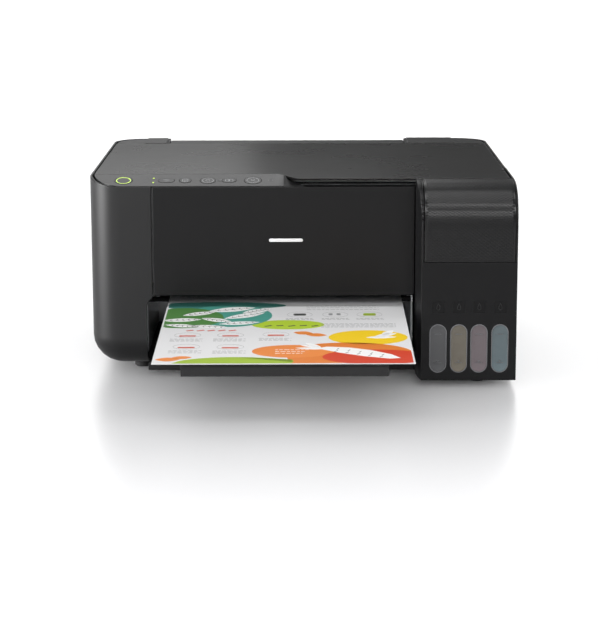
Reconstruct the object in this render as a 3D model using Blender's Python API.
"""Ink-tank multifunction inkjet printer with a flatbed scanner, its output tray pulled out and an
A4 sheet leaving the paper exit.

Units are metres and +Z is up. X runs to the right and Y to the back, and the front faces -Y. Every
dimension below measures Y from the front face of the ink tank unit and Z from the surface that the
feet stand on. The root empty then shifts the whole machine so that the origin lies under the middle
of its bounding box.

Each moving body is an empty on its joint's axis, and the pieces that move together are its children.
"""

import math

import bmesh
import bpy
from mathutils import Matrix, Vector

# Overall size of the closed machine, and the sheet it prints on
WIDTH = 0.375
DEPTH = 0.347
HEIGHT = 0.179
SHEET_WIDTH = 0.210
SHEET_LENGTH = 0.297
GAP = 0.0003

SIDE = WIDTH / 2
WALL = 0.0022

# Front face, outer case and its rounded lower edge
FRONT = 0.044
CORNER = 0.029
CASE_BOTTOM = 0.009
CASE_ROUND = 0.026
CASE_ROUND_RIGHT = 0.003
RIM = HEIGHT - 0.001
STRIP_SLOPE = 0.3
STRIP_ANGLE = math.atan(STRIP_SLOPE)
PANEL_TOP = 0.1712
PANEL_LEFT = -0.1304
PANEL_RIGHT = 0.1010
PANEL_SEAM = 0.0012
PANEL_THICKNESS = 0.0024
EXIT_LEFT = -0.1367
EXIT_TOP = 0.0737
EXIT_SILL = 0.0125
EXIT_CORNER = 0.011

# Ink tank unit at the right
TANK_LEFT = 0.1048
TANK_DEPTH = 0.112
TANK_BOTTOM = 0.0065
TANK_RIM = 0.0018
TANK_SIDE = 0.1013
TANK_SIDE_REAR = FRONT - GAP
TANK_SIDE_SWELL = 0.0240
COVER_SEAM = 0.1112
COVER_REAR = 0.0407
COVER_TOP = 0.1785
COVER_CENTRE = (0.045, 0.141)
COVER_POWER = 2.6
COVER_HINGE = (0.0, 0.0411, 0.1786)
TANK_CENTRES = {"black": 0.1193, "yellow": 0.1373, "magenta": 0.1549, "cyan": 0.1731}
TANK_WIDTH = 0.0166
WINDOW_WIDTH = 0.0142
WINDOW_BOTTOM = 0.0139
WINDOW_TOP = 0.0563
NECK_Y = 0.020
CAP_HINGE_Y = 0.033
CAP_HINGE_Z = 0.1180
NECK_RADIUS = 0.0052
NECK_TOP = 0.1150
CAP_RADIUS = 0.0074
TANK_FLOOR = 0.0092
TANK_REAR = 0.0950
TANK_CEILING = 0.1075

# Scanner unit and lid
UNIT_SIDE = 0.1836
SCANNER_BOTTOM = 0.138
SCANNER_TOP = 0.1705
SCANNER_FRONT = 0.0505
SCANNER_REAR = 0.2960
UNIT_HINGE = (0.0, 0.2975, 0.1786)
STRIP_FRONT = 0.0455
STRIP_BOTTOM = 0.1715
STRIP_EDGE_Z = PANEL_TOP + STRIP_SLOPE * (STRIP_FRONT - FRONT)
CREASE = 0.0703
LID_BOTTOM = 0.1742
LID_HINGE = (0.0, 0.2962, 0.1790)
LID_FRONT_RIGHT = 0.0413
SWEEP_START = -0.0215
SWEEP_END = -0.0015
SWEEP_STEPS = 12
SWEEP_STRIP_STEPS = 6
STRIP_FOOT = 0.0034
GRIP_TOP = 0.1768
LIP_TOP = 0.1780
GLASS = ((-0.1630, 0.0660), (0.1470, 0.2900))
UNIT_CORNER = 0.0225
PAD_LOW = (-0.1690, 0.0745, 0.1710)
PAD_HIGH = (0.1530, 0.2915, 0.1739)
ROD_AXIS = (0.1780, 0.1460)

# Rear strip and sheet feeder
DECK_FRONT = 0.2975
DECK_TOP = 0.1777
DECK_BOTTOM = 0.1727
HINGE_COVERS = ((-0.1548, -0.1346), (0.1078, 0.1537))
HINGE_COVER_TOP = 0.1792
SUPPORT_LEFT = -0.1312
SUPPORT_RIGHT = 0.1046
SUPPORT_HINGE = (0.0, 0.3425, 0.1757)
FEEDER_FACE = ((0.3370, 0.1715), (0.2990, 0.0800), (0.2820, 0.0640), (0.2320, 0.0560))

# Sheet and output tray
SHEET_CENTRE = -0.0139
SHEET_FRONT = -0.1575
SHEET_FRONT_Z = 0.058
SHEET_SLOPE = 0.0247
SHEET_THICKNESS = 0.0003
TRAY_TIP = -0.152
TRAY_TIP_Z = 0.0573
TRAY_SLOPE = 0.1228
TRAY_LEFT = -0.096
TRAY_RIGHT = 0.070
TRAY_PLATE = 0.0026
TRAY_STEP = 0.0030

# Print mechanism
FEED_AXIS = (0.2120, 0.0580)
FEED_RADIUS = 0.006
EXIT_AXIS = (0.1050, 0.0587)
EXIT_RADIUS = 0.0055
PICKUP_AXIS = (0.2914, 0.0950)
PICKUP_RADIUS = 0.012
PINION_AXIS = (0.1870, 0.0580)
GEAR_TEETH = 40
PINION_TEETH = 10
TOOTH_MODULE = 0.001
GEAR_LEFT = -0.1525
GEAR_RIGHT = -0.1465
BELT_Y = (0.2060, 0.2120)
BELT_Z = 0.104
BELT_LEFT = -0.158
BELT_RIGHT = 0.177
PULLEY_RADIUS = 0.0055

# Control strip: centre of each button along X, its width, and its depth along the slope
BUTTONS = {
    "power_button": (-0.1564, 0.0150, 0.0150),
    "network_button": (-0.1186, 0.0140, 0.0080),
    "info_button": (-0.1018, 0.0100, 0.0100),
    "copy_mono_button": (-0.0818, 0.0135, 0.0135),
    "copy_colour_button": (-0.0630, 0.0120, 0.0086),
    "stop_button": (-0.0421, 0.0150, 0.0150),
}
BUTTON_Y = 0.057

# Rear sockets and vent slots
INLET_BOX = ((0.1350, 0.3250, 0.0480), (0.1560, 0.3470, 0.0640))
USB_BOX = ((-0.1560, 0.3300, 0.0560), (-0.1440, 0.3470, 0.0670))
VENT_LEFT = 0.0600
VENT_BOTTOM = 0.0220
VENT_TOP = 0.0420
VENT_WIDTH = 0.0024
VENT_PITCH = 0.0060
VENTS = 11

ORIGIN_Y = (DEPTH + SHEET_FRONT) / 2
PIVOTS = {}
EMPTIES = {}


# ---------------------------------------------------------------- helpers

def clear_scene():
    for item in list(bpy.data.objects):
        bpy.data.objects.remove(item, do_unlink=True)


def material(name, colour, roughness, metallic=0.0):
    """A Principled BSDF material, made once and then shared."""
    made = bpy.data.materials.get(name)
    if made is None:
        made = bpy.data.materials.new(name)
        made.use_nodes = True
        shader = made.node_tree.nodes["Principled BSDF"]
        shader.inputs["Base Color"].default_value = (*colour, 1.0)
        shader.inputs["Roughness"].default_value = roughness
        shader.inputs["Metallic"].default_value = metallic
    return made


def charcoal():
    return material("charcoal_plastic", (0.018, 0.018, 0.019), 0.38)


def gloss_black():
    return material("front_panel_plastic", (0.010, 0.010, 0.011), 0.22)


def dark_plastic():
    return material("inner_plastic", (0.012, 0.012, 0.012), 0.55)


def steel():
    return material("zinc_steel", (0.55, 0.56, 0.57), 0.35, 1.0)


def rubber():
    return material("rubber", (0.015, 0.015, 0.015), 0.80)


def body(name, pivot, parent=None):
    """An empty on the joint's axis. Pieces of the body are modelled in place and hang from it."""
    empty = bpy.data.objects.new("body_" + name, None)
    bpy.context.scene.collection.objects.link(empty)
    PIVOTS[name] = Vector(pivot)
    EMPTIES[name] = empty
    if parent is None:
        empty.location = Vector((0.0, -ORIGIN_Y, 0.0))
    else:
        empty.parent = EMPTIES[parent]
        empty.location = PIVOTS[name] - PIVOTS[parent]


def piece(name, shape, of_body, finish):
    """Turns a bmesh, modelled in machine coordinates, into a named node of a body."""
    bmesh.ops.translate(shape, verts=shape.verts, vec=-PIVOTS[of_body])
    mesh = bpy.data.meshes.new(name)
    shape.to_mesh(mesh)
    shape.free()
    mesh.materials.append(finish)
    mesh.shade_smooth()
    mesh.set_sharp_from_angle(angle=math.radians(32))
    made = bpy.data.objects.new(name, mesh)
    bpy.context.scene.collection.objects.link(made)
    made.parent = EMPTIES[of_body]
    return made


def combine(target, shape, operation):
    """Boolean of a helper shape, also in machine coordinates, with a node."""
    owner = target.parent.name.removeprefix("body_")
    bmesh.ops.translate(shape, verts=shape.verts, vec=-PIVOTS[owner])
    mesh = bpy.data.meshes.new(target.name + "_tool")
    shape.to_mesh(mesh)
    shape.free()
    tool = bpy.data.objects.new(target.name + "_tool", mesh)
    bpy.context.scene.collection.objects.link(tool)
    tool.parent = target.parent
    tool.hide_render = True
    tool.display_type = "WIRE"
    step = target.modifiers.new(operation.lower(), "BOOLEAN")
    step.operation = operation
    step.solver = "EXACT"
    step.object = tool


def cut(target, shape):
    combine(target, shape, "DIFFERENCE")


def join(target, shape):
    combine(target, shape, "UNION")


def placed(axis, first, second, along):
    """The point whose coordinate on the axis is along, the other two being first and second."""
    if axis == "X":
        return Vector((along, first, second))
    if axis == "Y":
        return Vector((first, along, second))
    return Vector((first, second, along))


def prism(outline, axis, start, end):
    """A flat outline, as pairs of the two other coordinates, extruded along an axis."""
    shape = bmesh.new()
    near = [shape.verts.new(placed(axis, a, b, start)) for a, b in outline]
    far = [shape.verts.new(placed(axis, a, b, end)) for a, b in outline]
    shape.faces.new(near)
    shape.faces.new(list(reversed(far)))
    for i, vert in enumerate(near):
        following = (i + 1) % len(near)
        shape.faces.new((vert, far[i], far[following], near[following]))
    bmesh.ops.recalc_face_normals(shape, faces=shape.faces)
    return shape


def box(low, high):
    outline = [(low[0], low[1]), (high[0], low[1]), (high[0], high[1]), (low[0], high[1])]
    return prism(outline, "Z", low[2], high[2])


def arc(centre, radius, start_deg, end_deg, steps):
    """Points on an arc, both ends included."""
    points = []
    for i in range(steps + 1):
        angle = math.radians(start_deg + (end_deg - start_deg) * i / steps)
        points.append((centre[0] + radius * math.cos(angle), centre[1] + radius * math.sin(angle)))
    return points


def rod(axis, centre, radius, start, end, sides=24):
    return prism(arc(centre, radius, 0, 360 - 360 / sides, sides - 1), axis, start, end)


def rounded(centre, width, height, radius, steps=6):
    """Outline of a rectangle with rounded corners, also a stadium or a circle at full radius."""
    radius = min(radius, width / 2 - 1e-5, height / 2 - 1e-5)
    points = []
    corners = ((1, -1, -90), (1, 1, 0), (-1, 1, 90), (-1, -1, 180))
    for side_x, side_y, start in corners:
        corner_x = centre[0] + side_x * (width / 2 - radius)
        corner_y = centre[1] + side_y * (height / 2 - radius)
        points += arc((corner_x, corner_y), radius, start, start + 90, steps)
    return points


def turned(axis, centre, profile, sides=24):
    """A turned piece: profile holds (distance along the axis, radius) pairs."""
    shape = bmesh.new()
    rings = []
    for along, radius in profile:
        circle = arc(centre, radius, 0, 360 - 360 / sides, sides - 1)
        rings.append([shape.verts.new(placed(axis, a, b, along)) for a, b in circle])
    shape.faces.new(rings[0])
    shape.faces.new(list(reversed(rings[-1])))
    for ring, following in zip(rings, rings[1:]):
        for i in range(sides):
            j = (i + 1) % sides
            shape.faces.new((ring[i], ring[j], following[j], following[i]))
    bmesh.ops.recalc_face_normals(shape, faces=shape.faces)
    return shape


def toothed(centre, teeth, clearance):
    """Outline of a small gear whose tips stop short of the pitch circle by the clearance."""
    tip = teeth * TOOTH_MODULE / 2 - clearance
    root = tip - 1.6 * TOOTH_MODULE
    points = []
    for tooth in range(teeth):
        for share, radius in ((0.0, root), (0.22, tip), (0.5, tip), (0.72, root)):
            angle = 2 * math.pi * (tooth + share) / teeth
            points.append((centre[0] + radius * math.cos(angle), centre[1] + radius * math.sin(angle)))
    return points


def row_of_boxes(low, high, pitch, count):
    """Equal boxes spaced along X, as one shape."""
    row = bmesh.new()
    for step in range(count):
        shift = Vector((step * pitch, 0.0, 0.0))
        corner, opposite = Vector(low) + shift, Vector(high) + shift
        bmesh.ops.create_cube(row, size=1.0, matrix=Matrix.LocRotScale(
            (corner + opposite) / 2, None, opposite - corner))
    return row


# ---------------------------------------------------------------- casing

def rim_height(y):
    """Top edge of the case wall, which follows the control strip's slope at the front."""
    return min(RIM, PANEL_TOP + STRIP_SLOPE * (y - FRONT))


def case_columns():
    """Plan of the case wall from the front seam round to the tank unit: point, inward, round."""
    left = -SIDE + CORNER
    right = SIDE - CORNER
    rear = DEPTH - CORNER
    columns = [((PANEL_LEFT - PANEL_SEAM, FRONT), (0.0, 1.0), CASE_ROUND)]
    corners = (
        ((left, FRONT + CORNER), 270, CASE_ROUND),
        ((left, rear), 180, CASE_ROUND),
        ((right, rear), 90, CASE_ROUND_RIGHT),
    )
    for centre, start, lower_round in corners:
        for x, y in arc(centre, CORNER, start, start - 90, 8):
            inward = ((centre[0] - x) / CORNER, (centre[1] - y) / CORNER)
            columns.append(((x, y), inward, lower_round))
    columns.append(((SIDE, TANK_DEPTH + GAP), (-1.0, 0.0), CASE_ROUND_RIGHT))
    return columns


def wall_column(shape, column, inset):
    """Verts of one column of the case wall, from its lower edge to its rim."""
    (x, y), (inward_x, inward_y), lower_round = column
    verts = []
    for step in range(7):
        angle = math.radians(90 - 15 * step)
        depth = lower_round - (lower_round - inset) * math.cos(angle)
        z = CASE_BOTTOM + lower_round - (lower_round - inset) * math.sin(angle)
        verts.append(shape.verts.new((x + inward_x * depth, y + inward_y * depth, z)))
    rim = rim_height(y)
    verts.append(shape.verts.new((x + inward_x * inset, y + inward_y * inset, rim)))
    return verts


def exit_cutter(lower):
    """Shape of the paper exit, whose upper left corner is round."""
    corner = (EXIT_LEFT + EXIT_CORNER, EXIT_TOP - EXIT_CORNER)
    outline = [(EXIT_LEFT, lower), (PANEL_RIGHT + 0.002, lower), (PANEL_RIGHT + 0.002, EXIT_TOP)]
    outline += arc(corner, EXIT_CORNER, 90, 180, 8)
    return prism(outline, "Y", FRONT - 0.004, FRONT + 0.036)


def make_outer_case():
    shape = bmesh.new()
    columns = case_columns()
    outer = [wall_column(shape, column, 0.0) for column in columns]
    inner = [wall_column(shape, column, WALL) for column in columns]
    rows = len(outer[0])
    for i in range(len(columns) - 1):
        for j in range(rows - 1):
            shape.faces.new((outer[i][j], outer[i + 1][j], outer[i + 1][j + 1], outer[i][j + 1]))
            shape.faces.new((inner[i][j], inner[i][j + 1], inner[i + 1][j + 1], inner[i + 1][j]))
        shape.faces.new((outer[i][0], inner[i][0], inner[i + 1][0], outer[i + 1][0]))
        shape.faces.new((outer[i][-1], outer[i + 1][-1], inner[i + 1][-1], inner[i][-1]))
    for end in (0, -1):
        shape.faces.new(outer[end] + list(reversed(inner[end])))
    bmesh.ops.recalc_face_normals(shape, faces=shape.faces)
    case = piece("outer_case", shape, "base", charcoal())
    cut(case, exit_cutter(CASE_BOTTOM - 0.004))
    low = (SUPPORT_LEFT - 0.0008, DEPTH - 0.007, 0.1747)
    cut(case, box(low, (SUPPORT_RIGHT + 0.0008, DEPTH + 0.003, 0.185)))
    for low, high in (INLET_BOX, USB_BOX):
        grown_low = (low[0] - GAP, DEPTH - 0.006, low[2] - GAP)
        cut(case, box(grown_low, (high[0] + GAP, DEPTH + 0.004, high[2] + GAP)))
    slot_high = (VENT_LEFT + VENT_WIDTH, DEPTH + 0.004, VENT_TOP)
    cut(case, row_of_boxes((VENT_LEFT, DEPTH - 0.006, VENT_BOTTOM), slot_high, VENT_PITCH, VENTS))


def make_front_panel():
    low = (PANEL_LEFT, FRONT, EXIT_TOP - EXIT_CORNER)
    panel = piece(
        "front_panel",
        box(low, (PANEL_RIGHT, FRONT + PANEL_THICKNESS, PANEL_TOP)),
        "base",
        gloss_black(),
    )
    cut(panel, exit_cutter(EXIT_SILL))


def make_bottom_case():
    """Floor plate inside the case's rounded lower edge, with the sill and two tray rails."""
    left = -SIDE + CORNER
    right = SIDE - CORNER
    rear = DEPTH - CORNER
    edge = CASE_ROUND + 0.0004
    edge_right = CASE_ROUND_RIGHT + 0.0004
    outline = [(EXIT_LEFT + 0.0004, FRONT + 0.0002), (TANK_LEFT - 0.0006, FRONT + 0.0002)]
    outline += [(TANK_LEFT - 0.0006, TANK_DEPTH + 0.0009), (SIDE - edge_right, TANK_DEPTH + 0.0009)]
    outline += arc((right, rear), CORNER - edge_right, 0, 90, 6)
    outline += arc((left, rear), CORNER - edge, 90, 180, 3)
    outline += arc((left, FRONT + CORNER), CORNER - edge, 180, 270, 3)
    outline += [(EXIT_LEFT + 0.0004, FRONT + edge)]
    floor = piece("bottom_case", prism(outline, "Z", CASE_BOTTOM, 0.0115), "base", dark_plastic())
    low = (EXIT_LEFT + 0.0004, FRONT + 0.0002, 0.006)
    join(floor, box(low, (TANK_LEFT - 0.0006, FRONT + 0.0032, EXIT_SILL)))
    for x in (TRAY_LEFT - 0.005, TRAY_RIGHT + 0.001):
        rail = [(0.050, 0.0105), (0.165, 0.0105), (0.165, 0.0180), (0.050, 0.0320)]
        join(floor, prism(rail, "X", x, x + 0.004))


def make_feet():
    places = {
        "foot_front_left": (-0.1440, 0.092, CASE_BOTTOM),
        "foot_rear_left": (-0.1440, 0.300, CASE_BOTTOM),
        "foot_rear_right": (0.1560, 0.305, CASE_BOTTOM),
        "foot_front_right": (0.1560, 0.032, TANK_BOTTOM),
    }
    for name, (x, y, top) in places.items():
        profile = ((0.0, 0.0072), (0.0012, 0.0082), (top - GAP, 0.0085))
        piece(name, turned("Z", (x, y), profile), "base", rubber())


def make_rear_deck():
    """Fixed strip behind the lid: two hinge covers, and the mouth of the sheet feeder."""
    rear = DEPTH - CORNER
    radius = CORNER - WALL - 0.0017
    outline = [(-UNIT_SIDE, DECK_FRONT), (UNIT_SIDE, DECK_FRONT)]
    outline += arc((SIDE - CORNER, rear), radius, 0, 90, 8)
    outline += arc((CORNER - SIDE, rear), radius, 90, 180, 8)
    deck = piece("rear_deck", prism(outline, "Z", DECK_BOTTOM, DECK_TOP), "base", charcoal())
    for left, right in HINGE_COVERS:
        join(deck, box((left, DECK_FRONT + 0.001, DECK_TOP - 0.0017), (right, 0.3425, HINGE_COVER_TOP)))
    low = (SUPPORT_LEFT - 0.0004, 0.2995, 0.1747)
    cut(deck, box(low, (SUPPORT_RIGHT + 0.0004, 0.3460, 0.1850)))
    cut(deck, box((-0.1290, 0.3030, 0.1700), (0.1024, 0.3400, 0.1800)))


# ---------------------------------------------------------------- scanner unit

def sweep(x):
    """Y of the line where the control strip meets the lid: it swings forward over the grip."""
    share = min(1.0, max(0.0, (x - SWEEP_START) / (SWEEP_END - SWEEP_START)))
    eased = share * share * (3 - 2 * share)
    return CREASE + (LID_FRONT_RIGHT - CREASE) * eased


def sweep_x(step):
    return SWEEP_START + (SWEEP_END - SWEEP_START) * step / SWEEP_STEPS


def make_scanner_housing():
    outline = [(UNIT_SIDE, SCANNER_FRONT), (UNIT_SIDE, SCANNER_REAR), (-UNIT_SIDE, SCANNER_REAR)]
    corner = (UNIT_CORNER - UNIT_SIDE, SCANNER_FRONT + UNIT_CORNER)
    outline += arc(corner, UNIT_CORNER, 180, 270, 8)
    shape = prism(outline, "Z", SCANNER_BOTTOM, SCANNER_TOP)
    housing = piece("scanner_housing", shape, "scanner_unit", dark_plastic())
    (x0, y0), (x1, y1) = GLASS
    side_wall = WALL + 2 * GAP
    low = (side_wall - UNIT_SIDE, SCANNER_FRONT + WALL, SCANNER_BOTTOM + WALL)
    high = (UNIT_SIDE - side_wall, SCANNER_REAR - WALL, SCANNER_TOP - WALL)
    inner_corner = UNIT_CORNER - WALL / 2
    cavity = [(high[0], low[1]), (high[0], high[1]), (low[0], high[1])]
    cavity += arc((low[0] + inner_corner, low[1] + inner_corner), inner_corner, 180, 270, 6)
    cut(housing, prism(cavity, "Z", low[2], high[2]))
    cut(housing, box((x0 - GAP, y0 - GAP, 0.1660), (x1 + GAP, y1 + GAP, 0.1800)))
    glass = material("scanner_glass", (0.60, 0.70, 0.72), 0.05)
    piece("scanner_glass", box((x0, y0, 0.1685), (x1, y1, 0.1704)), "scanner_unit", glass)
    shaft = rod("X", ROD_AXIS, 0.003, -0.1800, 0.1800, 16)
    piece("scanner_rod", shaft, "scanner_unit", steel())


def make_scan_bar():
    bar = piece("scan_bar", box((-0.1585, 0.0720, 0.1505), (-0.1425, 0.2840, 0.1655)),
                "scan_bar", dark_plastic())
    cut(bar, box((-0.1530, 0.0760, 0.1645), (-0.1480, 0.2800, 0.1700)))


def strip_section(x, front):
    """Section of the control strip at one X, from its front edge to the lid's front line."""
    back = sweep(x)
    rise = min(1.0, max(0.0, (front - STRIP_FRONT) / (CREASE - STRIP_FRONT)))
    front_top = STRIP_EDGE_Z + (HEIGHT - STRIP_EDGE_Z) * rise
    return [(x, front, STRIP_BOTTOM), (x, back, STRIP_BOTTOM), (x, back, HEIGHT), (x, front, front_top)]


def strip_corner():
    """Sections round the machine's front left corner, inside the case's rim."""
    sections = []
    for step in range(9):
        angle = math.radians(80 - 10 * step)
        radius = 0.0275 - 0.0024 * min(1.0, angle / math.radians(45))
        x = CORNER - SIDE - radius * math.sin(angle)
        sections.append(strip_section(x, FRONT + CORNER - radius * math.cos(angle)))
    return sections


def button_frame(x):
    """Matrix that stands a flat outline on the control strip at one X."""
    z = STRIP_EDGE_Z + STRIP_SLOPE * (BUTTON_Y - STRIP_FRONT)
    return Matrix.Translation((x, BUTTON_Y, z)) @ Matrix.Rotation(STRIP_ANGLE, 4, "X")


def on_strip(x, width, depth, low, high):
    shape = prism(rounded((0.0, 0.0), width, depth, depth / 2), "Z", low, high)
    bmesh.ops.transform(shape, matrix=button_frame(x), verts=shape.verts)
    return shape


def make_control_panel():
    sections = strip_corner()
    for step in range(SWEEP_STRIP_STEPS + 1):
        sections.append(strip_section(sweep_x(step), STRIP_FRONT))
    tip_x, tip_y, _ = sections.pop()[2]
    end_y = STRIP_FRONT + 0.0012
    sections.append([(STRIP_FOOT, STRIP_FRONT, STRIP_BOTTOM), (STRIP_FOOT, end_y, STRIP_BOTTOM),
                     (tip_x, tip_y, GRIP_TOP - GAP), (STRIP_FOOT, STRIP_FRONT, STRIP_EDGE_Z)])
    shape = bmesh.new()
    rings = [[shape.verts.new(point) for point in section] for section in sections]
    shape.faces.new(rings[0])
    shape.faces.new(rings[-1])
    for ring, following in zip(rings, rings[1:]):
        for i in range(4):
            j = (i + 1) % 4
            shape.faces.new((ring[i], ring[j], following[j], following[i]))
    bmesh.ops.triangulate(shape, faces=shape.faces)
    bmesh.ops.recalc_face_normals(shape, faces=shape.faces)
    strip = piece("control_panel", shape, "scanner_unit", charcoal())
    for x, width, depth in BUTTONS.values():
        cut(strip, on_strip(x, width + 2 * GAP, depth + 2 * GAP, -0.008, 0.006))


def make_buttons():
    for name, (x, width, depth) in BUTTONS.items():
        piece(name, on_strip(x, width, depth, -0.0014, 0.0001), name, charcoal())


def make_lid():
    """Flat document lid. Its front edge swings forward and thins out into a finger grip."""
    outline = [(UNIT_SIDE, LID_FRONT_RIGHT), (UNIT_SIDE, SCANNER_REAR), (-UNIT_SIDE, SCANNER_REAR)]
    outline += [(-UNIT_SIDE, CREASE + 0.0015), (-UNIT_SIDE + 0.0005, CREASE + 2 * GAP)]
    for step in range(SWEEP_STEPS + 1):
        gap = GAP * (2 - step / SWEEP_STEPS)
        outline.append((sweep_x(step), sweep(sweep_x(step)) + gap))
    shape = prism(outline, "Z", LID_BOTTOM, HEIGHT)
    lid = piece("document_lid", shape, "lid", charcoal())
    grip = [(0.0300, 0.1700), (0.0660, 0.1700), (0.0660, GRIP_TOP), (0.0480, GRIP_TOP)]
    grip += [(LID_FRONT_RIGHT + 0.0010, LIP_TOP), (0.0300, LIP_TOP)]
    cut(lid, prism(grip, "X", -0.0400, 0.1100))
    pad = material("lid_pad_foam", (0.80, 0.80, 0.79), 0.85)
    piece("lid_pad", box(PAD_LOW, PAD_HIGH), "lid", pad)


# ---------------------------------------------------------------- ink tank unit

def cover_curve(inset, start_y):
    """Front curve of the tank unit, a superellipse, from its rear top point to its front."""
    centre_y, centre_z = COVER_CENTRE
    half_y = centre_y - inset
    half_z = COVER_TOP - centre_z - inset
    first = (centre_y - start_y) / half_y
    start = math.asin(min(1.0, max(0.0, first)) ** (COVER_POWER / 2))
    points = []
    steps = 14
    for step in range(steps + 1):
        angle = start + (math.pi / 2 - start) * step / steps
        y = centre_y - half_y * math.sin(angle) ** (2 / COVER_POWER)
        z = centre_z + half_z * max(0.0, math.cos(angle)) ** (2 / COVER_POWER)
        points.append((y, z))
    return points


def tank_side_web():
    """Left flank of the unit, in front of the front panel's right edge."""
    outline = [(0.0, TANK_BOTTOM), (TANK_SIDE_REAR, TANK_BOTTOM)]
    outline += cover_curve(0.0, TANK_SIDE_REAR)
    return prism(outline, "X", TANK_SIDE, TANK_LEFT + TANK_RIM / 2)


def tank_side_cutter():
    """Plan of what the flank's swelling leaves open, from the front face back to the flank."""
    outline = [(TANK_SIDE - 0.01, -0.01), (TANK_LEFT - GAP, -0.01)]
    steps = 8
    for step in range(steps + 1):
        share = step / steps
        bulge = 1 - (1 - share) ** 1.5
        x = TANK_LEFT - GAP - (TANK_LEFT - GAP - TANK_SIDE) * bulge
        outline.append((x, TANK_SIDE_SWELL * share))
    outline.append((TANK_SIDE - 0.01, TANK_SIDE_SWELL))
    return prism(outline, "Z", -0.01, 0.2)


def make_tank_housing():
    outline = [(0.0, TANK_BOTTOM), (TANK_DEPTH, TANK_BOTTOM), (TANK_DEPTH, COVER_TOP)]
    outline += cover_curve(0.0, COVER_CENTRE[0])
    shape = prism(outline, "X", TANK_LEFT, SIDE)
    housing = piece("tank_housing", shape, "base", charcoal())
    join(housing, tank_side_web())
    cut(housing, tank_side_cutter())
    inner_left = TANK_LEFT + TANK_RIM
    inner_right = SIDE - TANK_RIM
    back = TANK_DEPTH + 0.01
    cut(housing, box((inner_left, WALL, TANK_BOTTOM + WALL), (inner_right, back, COVER_SEAM - WALL)))
    cut(housing, box((inner_left, -0.01, COVER_SEAM), (inner_right, COVER_REAR + 0.0009, 0.2)))
    cut(housing, box((TANK_LEFT - 0.01, 0.0438, COVER_SEAM), (inner_right, back, 0.2)))
    cut(housing, box((TANK_LEFT - 0.01, 0.0410, PANEL_TOP), (inner_right, 0.05, 0.2)))
    height = WINDOW_TOP - WINDOW_BOTTOM
    middle = (WINDOW_TOP + WINDOW_BOTTOM) / 2
    for x in TANK_CENTRES.values():
        window = rounded((x, middle), WINDOW_WIDTH, height, WINDOW_WIDTH / 2)
        cut(housing, prism(window, "Y", -0.004, 0.006))
        cut(housing, rod("Z", (x, NECK_Y), NECK_RADIUS + 0.0004, 0.105, 0.118))


def make_ink_tanks():
    tints = {"black": (0.05, 0.05, 0.055), "yellow": (0.11, 0.095, 0.07),
             "magenta": (0.11, 0.085, 0.09), "cyan": (0.075, 0.11, 0.125)}
    height = WINDOW_TOP - WINDOW_BOTTOM - 2 * GAP
    middle = (WINDOW_TOP + WINDOW_BOTTOM) / 2
    for ink, x in TANK_CENTRES.items():
        low = (x - TANK_WIDTH / 2, WALL + GAP, TANK_FLOOR)
        tint = material("ink_tank_" + ink, tints[ink], 0.25)
        shape = box(low, (x + TANK_WIDTH / 2, TANK_REAR, TANK_CEILING))
        tank = piece("ink_tank_" + ink, shape, "base", tint)
        width = WINDOW_WIDTH - 2 * GAP
        join(tank, prism(rounded((x, middle), width, height, width / 2), "Y", GAP, 0.0060))
        join(tank, rod("Z", (x, NECK_Y), NECK_RADIUS, TANK_CEILING - WALL, NECK_TOP))


def make_tank_caps():
    for ink, x in TANK_CENTRES.items():
        name = "tank_cap_" + ink
        low, high = NECK_TOP + 0.0004, NECK_TOP + 0.0073
        profile = ((low, CAP_RADIUS - 0.0006), (low + 0.0006, CAP_RADIUS),
                   (high - 0.0008, CAP_RADIUS), (high, CAP_RADIUS - 0.0008))
        cap = piece(name, turned("Z", (x, NECK_Y), profile), name, rubber())
        arm = [(0.0240, 0.1165), (0.0330, 0.1165)]
        arm += arc((CAP_HINGE_Y, CAP_HINGE_Z), 0.0015, -90, 90, 6)
        arm += [(0.0240, 0.1195)]
        join(cap, prism(arm, "X", x - 0.003, x + 0.003))
        join(cap, box((x - 0.0025, 0.0095, 0.1185), (x + 0.0025, 0.0145, 0.1205)))


def make_tank_cover():
    left = TANK_LEFT + TANK_RIM + 0.0003
    right = SIDE - TANK_RIM - 0.0004
    outline = [(0.0, COVER_SEAM + GAP), (COVER_REAR, COVER_SEAM + GAP)]
    outline += cover_curve(0.0, COVER_REAR)
    cover = piece("tank_cover", prism(outline, "X", left, right), "tank_cover", charcoal())
    hollow = [(0.0020, 0.1000), (0.0600, 0.1000), (0.0600, COVER_TOP - 0.0020)]
    hollow += cover_curve(0.0020, COVER_CENTRE[0])
    cut(cover, prism(hollow, "X", left + 0.0015, right - 0.0015))


# ---------------------------------------------------------------- paper handling

def tray_plate(front, rear, drop):
    """YZ outline of a tray stage, which lies on the tray's incline."""
    def top(y):
        return TRAY_TIP_Z - TRAY_SLOPE * (y - TRAY_TIP) - drop
    return [(front, top(front)), (rear, top(rear)),
            (rear, top(rear) - TRAY_PLATE), (front, top(front) - TRAY_PLATE)]


def make_tray():
    outline = tray_plate(TRAY_TIP, -0.022, 0.0)
    shape = prism(outline, "X", TRAY_LEFT, TRAY_RIGHT)
    extension = piece("tray_extension", shape, "tray_extension", charcoal())
    lip = [(TRAY_TIP, TRAY_TIP_Z), (TRAY_TIP + 0.004, TRAY_TIP_Z - 0.0005),
           (TRAY_TIP + 0.0032, 0.0465), (TRAY_TIP + 0.0010, 0.0465)]
    join(extension, prism(lip, "X", TRAY_LEFT, TRAY_RIGHT))
    outline = tray_plate(-0.052, 0.062, TRAY_STEP)
    piece("tray_base", prism(outline, "X", TRAY_LEFT, TRAY_RIGHT), "tray_base", charcoal())


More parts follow.
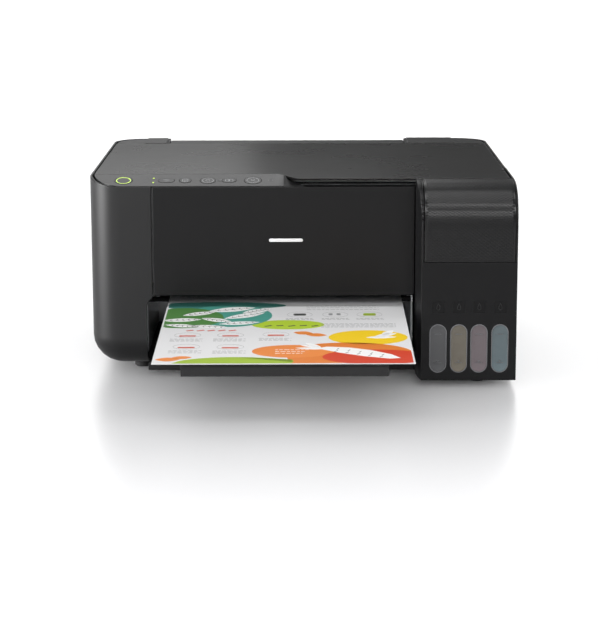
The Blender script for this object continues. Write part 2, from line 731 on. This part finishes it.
def make_sheet():
    rise = SHEET_LENGTH * SHEET_SLOPE
    rear = SHEET_FRONT + SHEET_LENGTH
    outline = [(SHEET_FRONT, SHEET_FRONT_Z), (rear, SHEET_FRONT_Z + rise),
               (rear, SHEET_FRONT_Z + rise + SHEET_THICKNESS),
               (SHEET_FRONT, SHEET_FRONT_Z + SHEET_THICKNESS)]
    left = SHEET_CENTRE - SHEET_WIDTH / 2
    paper = material("paper", (0.85, 0.85, 0.84), 0.70)
    piece("paper_sheet", prism(outline, "X", left, left + SHEET_WIDTH), "paper_sheet", paper)


def make_rear_feeder():
    """Slanted chute that carries blank sheets down to the feed roller, between two cheeks."""
    back = [(y + 0.0024, z - 0.0012) for y, z in FEEDER_FACE]
    chute = prism(list(FEEDER_FACE) + list(reversed(back)), "X", -0.1312, 0.1047)
    feeder = piece("rear_feeder", chute, "base", dark_plastic())
    cheek = [(0.2320, 0.0545), (0.2320, 0.0850), (0.2700, 0.1150), (0.3010, 0.1360),
             (0.3010, 0.1715), (0.3400, 0.1715), (0.3400, 0.1640), (0.3030, 0.0720), (0.2850, 0.0590)]
    for left in (-0.1335, 0.1045):
        join(feeder, prism(cheek, "X", left, left + 0.0025))
    for left in (-0.140, 0.100):
        cut(feeder, rod("X", PICKUP_AXIS, 0.0036, left, left + 0.010))


def make_edge_guides():
    (top_y, top_z), (low_y, low_z) = FEEDER_FACE[0], FEEDER_FACE[1]
    slant = (top_y - low_y) / (top_z - low_z)

    def face(z):
        return low_y + slant * (z - low_z) - 0.0010

    outline = [(face(0.112), 0.112), (face(0.168), 0.168), (face(0.168) - 0.018, 0.168),
               (face(0.140) - 0.012, 0.140), (face(0.112) - 0.004, 0.114)]
    half = SHEET_WIDTH / 2 + 0.0006
    for name, x in (("edge_guide_left", SHEET_CENTRE - half - 0.002),
                    ("edge_guide_right", SHEET_CENTRE + half)):
        piece(name, prism(outline, "X", x, x + 0.002), name, dark_plastic())


def make_paper_support():
    low = (SUPPORT_LEFT, 0.3000, 0.1750)
    shape = box(low, (SUPPORT_RIGHT, 0.3430, 0.1765))
    flap = piece("paper_support", shape, "paper_support", charcoal())
    middle = (SUPPORT_LEFT + SUPPORT_RIGHT) / 2
    grip = rounded((middle, 0.3000), 0.024, 0.006, 0.003)
    cut(flap, prism(grip, "Z", 0.170, 0.180))


# ---------------------------------------------------------------- mechanism

def make_chassis():
    """Folded sheet-steel frame: a rear web with a sheet slot and two low side plates."""
    left, right, front, web, skin = -0.1410, 0.1020, 0.0940, 0.2280, 0.0015
    plan = [(left, front), (left + skin, front), (left + skin, web), (right - skin, web),
            (right - skin, front), (right, front), (right, web + skin), (left, web + skin)]
    frame = piece("chassis_frame", prism(plan, "Z", 0.0120, 0.0660), "base", steel())
    join(frame, box((left, web, 0.0500), (right, web + skin, 0.1250)))
    cut(frame, box((-0.1250, web - 0.004, 0.0520), (0.0970, web + 0.006, 0.0720)))
    for axis, radius in ((FEED_AXIS, 0.0036), (EXIT_AXIS, 0.0031)):
        for x in (left, right):
            cut(frame, rod("X", axis, radius, x - 0.004, x + 0.004))


def make_carriage_rail():
    outline = [(0.2010, 0.0840), (0.2275, 0.0840), (0.2275, 0.0855), (0.2025, 0.0855),
               (0.2025, 0.0915), (0.2010, 0.0915)]
    piece("carriage_rail", prism(outline, "X", -0.1480, 0.1800), "base", steel())


def make_platen():
    shape = box((-0.1300, 0.1180, 0.0540), (0.0980, 0.2020, 0.0610))
    platen = piece("platen", shape, "base", dark_plastic())
    for step in range(8):
        x = -0.1220 + 0.030 * step
        join(platen, box((x, 0.1190, 0.0605), (x + 0.0012, 0.2010, 0.0630)))


def make_star_wheels():
    shape = box((-0.1300, 0.0950, 0.0705), (0.0980, 0.1060, 0.0745))
    bar = piece("star_wheel_bar", shape, "base", dark_plastic())
    for step in range(6):
        x = -0.1050 + 0.0360 * step
        join(bar, rod("X", (0.1005, 0.0686), 0.0032, x, x + 0.0010, 12))


def make_carriage():
    shape = box((0.1000, 0.1400, 0.0740), (0.1700, 0.2000, 0.1250))
    carriage = piece("print_carriage", shape, "carriage", dark_plastic())
    cut(carriage, box((0.1030, 0.1430, 0.1000), (0.1670, 0.1970, 0.1300)))
    join(carriage, box((0.1150, 0.1990, 0.0925), (0.1550, 0.2055, 0.0965)))
    nozzle = material("print_head_metal", (0.40, 0.38, 0.34), 0.35, 1.0)
    piece("print_head", box((0.1150, 0.1500, 0.0670), (0.1550, 0.1900, 0.0737)), "carriage", nozzle)


def belt_outline(radius):
    points = arc((BELT_RIGHT, BELT_Z), radius, -90, 90, 10)
    return points + arc((BELT_LEFT, BELT_Z), radius, 90, 270, 10)


def make_belt_drive():
    inner = PULLEY_RADIUS + GAP
    shape = prism(belt_outline(inner + 0.001), "Y", *BELT_Y)
    belt = piece("timing_belt", shape, "base", rubber())
    cut(belt, prism(belt_outline(inner), "Y", BELT_Y[0] - 0.002, BELT_Y[1] + 0.002))
    pulley = material("acetal", (0.70, 0.70, 0.67), 0.45)
    for name, x in (("motor_pulley", BELT_LEFT), ("idler_pulley", BELT_RIGHT)):
        shape = rod("Y", (x, BELT_Z), PULLEY_RADIUS, *BELT_Y)
        wheel = piece(name, shape, name, pulley)
        cut(wheel, rod("Y", (x, BELT_Z), 0.0015, BELT_Y[0] - 0.002, BELT_Y[1] + 0.002, 12))
    profile = ((0.2060, 0.0012), (0.2138, 0.0012), (0.2140, 0.0115), (0.2400, 0.0115))
    piece("carriage_motor", turned("Y", (BELT_LEFT, BELT_Z), profile), "base", steel())


def make_feed_drive():
    profile = [(-0.1540, 0.003), (-0.1205, 0.003), (-0.1200, FEED_RADIUS), (0.0920, FEED_RADIUS),
               (0.0925, 0.003), (0.1040, 0.003)]
    piece("feed_roller", turned("X", FEED_AXIS, profile), "feed_roller", rubber())
    acetal = material("acetal", (0.70, 0.70, 0.67), 0.45)
    shape = prism(toothed(FEED_AXIS, GEAR_TEETH, 0.0002), "X", GEAR_LEFT, GEAR_RIGHT)
    gear = piece("feed_gear", shape, "feed_roller", acetal)
    cut(gear, rod("X", FEED_AXIS, 0.0033, GEAR_LEFT - 0.002, GEAR_RIGHT + 0.002))
    shape = prism(toothed(PINION_AXIS, PINION_TEETH, 0.0002), "X", GEAR_LEFT, GEAR_RIGHT)
    pinion = piece("motor_pinion", shape, "motor_pinion", acetal)
    cut(pinion, rod("X", PINION_AXIS, 0.0014, GEAR_LEFT - 0.002, GEAR_RIGHT + 0.002, 12))
    profile = ((-0.1810, 0.0125), (-0.1560, 0.0125), (-0.1558, 0.0011), (GEAR_RIGHT, 0.0011))
    piece("feed_motor", turned("X", PINION_AXIS, profile), "base", steel())


def make_exit_roller():
    profile = [(-0.1455, 0.0025)]
    for step in range(6):
        start = -0.1100 + 0.0360 * step
        profile += [(start, 0.0025), (start + 0.0004, EXIT_RADIUS)]
        profile += [(start + 0.0096, EXIT_RADIUS), (start + 0.0100, 0.0025)]
    profile.append((0.1040, 0.0025))
    piece("exit_roller", turned("X", EXIT_AXIS, profile, 20), "exit_roller", rubber())


def make_pickup_roller():
    middle = SHEET_CENTRE
    profile = [(-0.1350, 0.003), (middle - 0.0135, 0.003), (middle - 0.0130, PICKUP_RADIUS),
               (middle + 0.0130, PICKUP_RADIUS), (middle + 0.0135, 0.003), (0.1085, 0.003)]
    piece("pickup_roller", turned("X", PICKUP_AXIS, profile), "pickup_roller", rubber())


def make_capping_station():
    shape = box((0.1060, 0.1350, 0.0120), (0.1650, 0.2000, 0.0620))
    station = piece("capping_station", shape, "base", dark_plastic())
    cut(station, box((0.1140, 0.1480, 0.0540), (0.1560, 0.1920, 0.0680)))


def make_electronics():
    board_green = material("circuit_board", (0.02, 0.16, 0.07), 0.45)
    board = piece("main_board", box((-0.1720, 0.2480, 0.0300), (-0.1704, 0.3280, 0.1200)),
                  "base", board_green)
    for y, z, size in ((0.262, 0.050, 0.018), (0.290, 0.080, 0.024), (0.268, 0.098, 0.014)):
        join(board, box((-0.1710, y, z), (-0.1670, y + size, z + size)))
    supply = material("supply_case", (0.03, 0.03, 0.03), 0.60)
    piece("power_supply", box((0.1150, 0.2350, 0.0150), (0.1750, 0.3180, 0.0440)), "base", supply)
    socket = material("socket_plastic", (0.01, 0.01, 0.01), 0.50)
    inlet = piece("power_inlet", box(*INLET_BOX), "base", socket)
    cut(inlet, prism(rounded((0.1455, 0.0560), 0.0160, 0.0090, 0.0045), "Y", 0.3350, 0.3500))
    for x in (0.1420, 0.1490):
        join(inlet, rod("Y", (x, 0.0560), 0.0012, 0.3300, 0.3430, 12))
    port = piece("usb_port", box(*USB_BOX), "base", steel())
    cut(port, box((-0.1545, 0.3360, 0.0575), (-0.1455, 0.3500, 0.0655)))
    join(port, box((-0.1530, 0.3340, 0.0600), (-0.1470, 0.3450, 0.0630)))


# ---------------------------------------------------------------- assembly

def make_bodies():
    body("base", (0.0, 0.0, 0.0))
    body("scanner_unit", UNIT_HINGE, "base")
    body("lid", LID_HINGE, "scanner_unit")
    body("scan_bar", (-0.1505, 0.178, 0.158), "scanner_unit")
    for name, (x, _, _) in BUTTONS.items():
        body(name, button_frame(x).translation, "scanner_unit")
    body("tank_cover", COVER_HINGE, "base")
    for ink, x in TANK_CENTRES.items():
        body("tank_cap_" + ink, (x, CAP_HINGE_Y, CAP_HINGE_Z), "base")
    body("tray_base", (0.0, 0.0, TRAY_TIP_Z), "base")
    body("tray_extension", (0.0, TRAY_TIP, TRAY_TIP_Z), "tray_base")
    body("paper_sheet", (SHEET_CENTRE, SHEET_FRONT, SHEET_FRONT_Z), "base")
    body("paper_support", SUPPORT_HINGE, "base")
    body("edge_guide_left", (SHEET_CENTRE - SHEET_WIDTH / 2, 0.32, 0.14), "base")
    body("edge_guide_right", (SHEET_CENTRE + SHEET_WIDTH / 2, 0.32, 0.14), "base")
    body("carriage", (0.135, 0.170, 0.100), "base")
    for name, x in (("motor_pulley", BELT_LEFT), ("idler_pulley", BELT_RIGHT)):
        body(name, (x, BELT_Y[0], BELT_Z), "base")
    axes = {"feed_roller": FEED_AXIS, "motor_pinion": PINION_AXIS,
            "exit_roller": EXIT_AXIS, "pickup_roller": PICKUP_AXIS}
    for name, (y, z) in axes.items():
        body(name, (0.0, y, z), "base")


def main():
    clear_scene()
    make_bodies()
    make_outer_case()
    make_front_panel()
    make_bottom_case()
    make_feet()
    make_rear_deck()
    make_scanner_housing()
    make_scan_bar()
    make_control_panel()
    make_buttons()
    make_lid()
    make_tank_housing()
    make_ink_tanks()
    make_tank_caps()
    make_tank_cover()
    make_tray()
    make_sheet()
    make_rear_feeder()
    make_edge_guides()
    make_paper_support()
    make_chassis()
    make_carriage_rail()
    make_platen()
    make_star_wheels()
    make_carriage()
    make_belt_drive()
    make_feed_drive()
    make_exit_roller()
    make_pickup_roller()
    make_capping_station()
    make_electronics()


main()
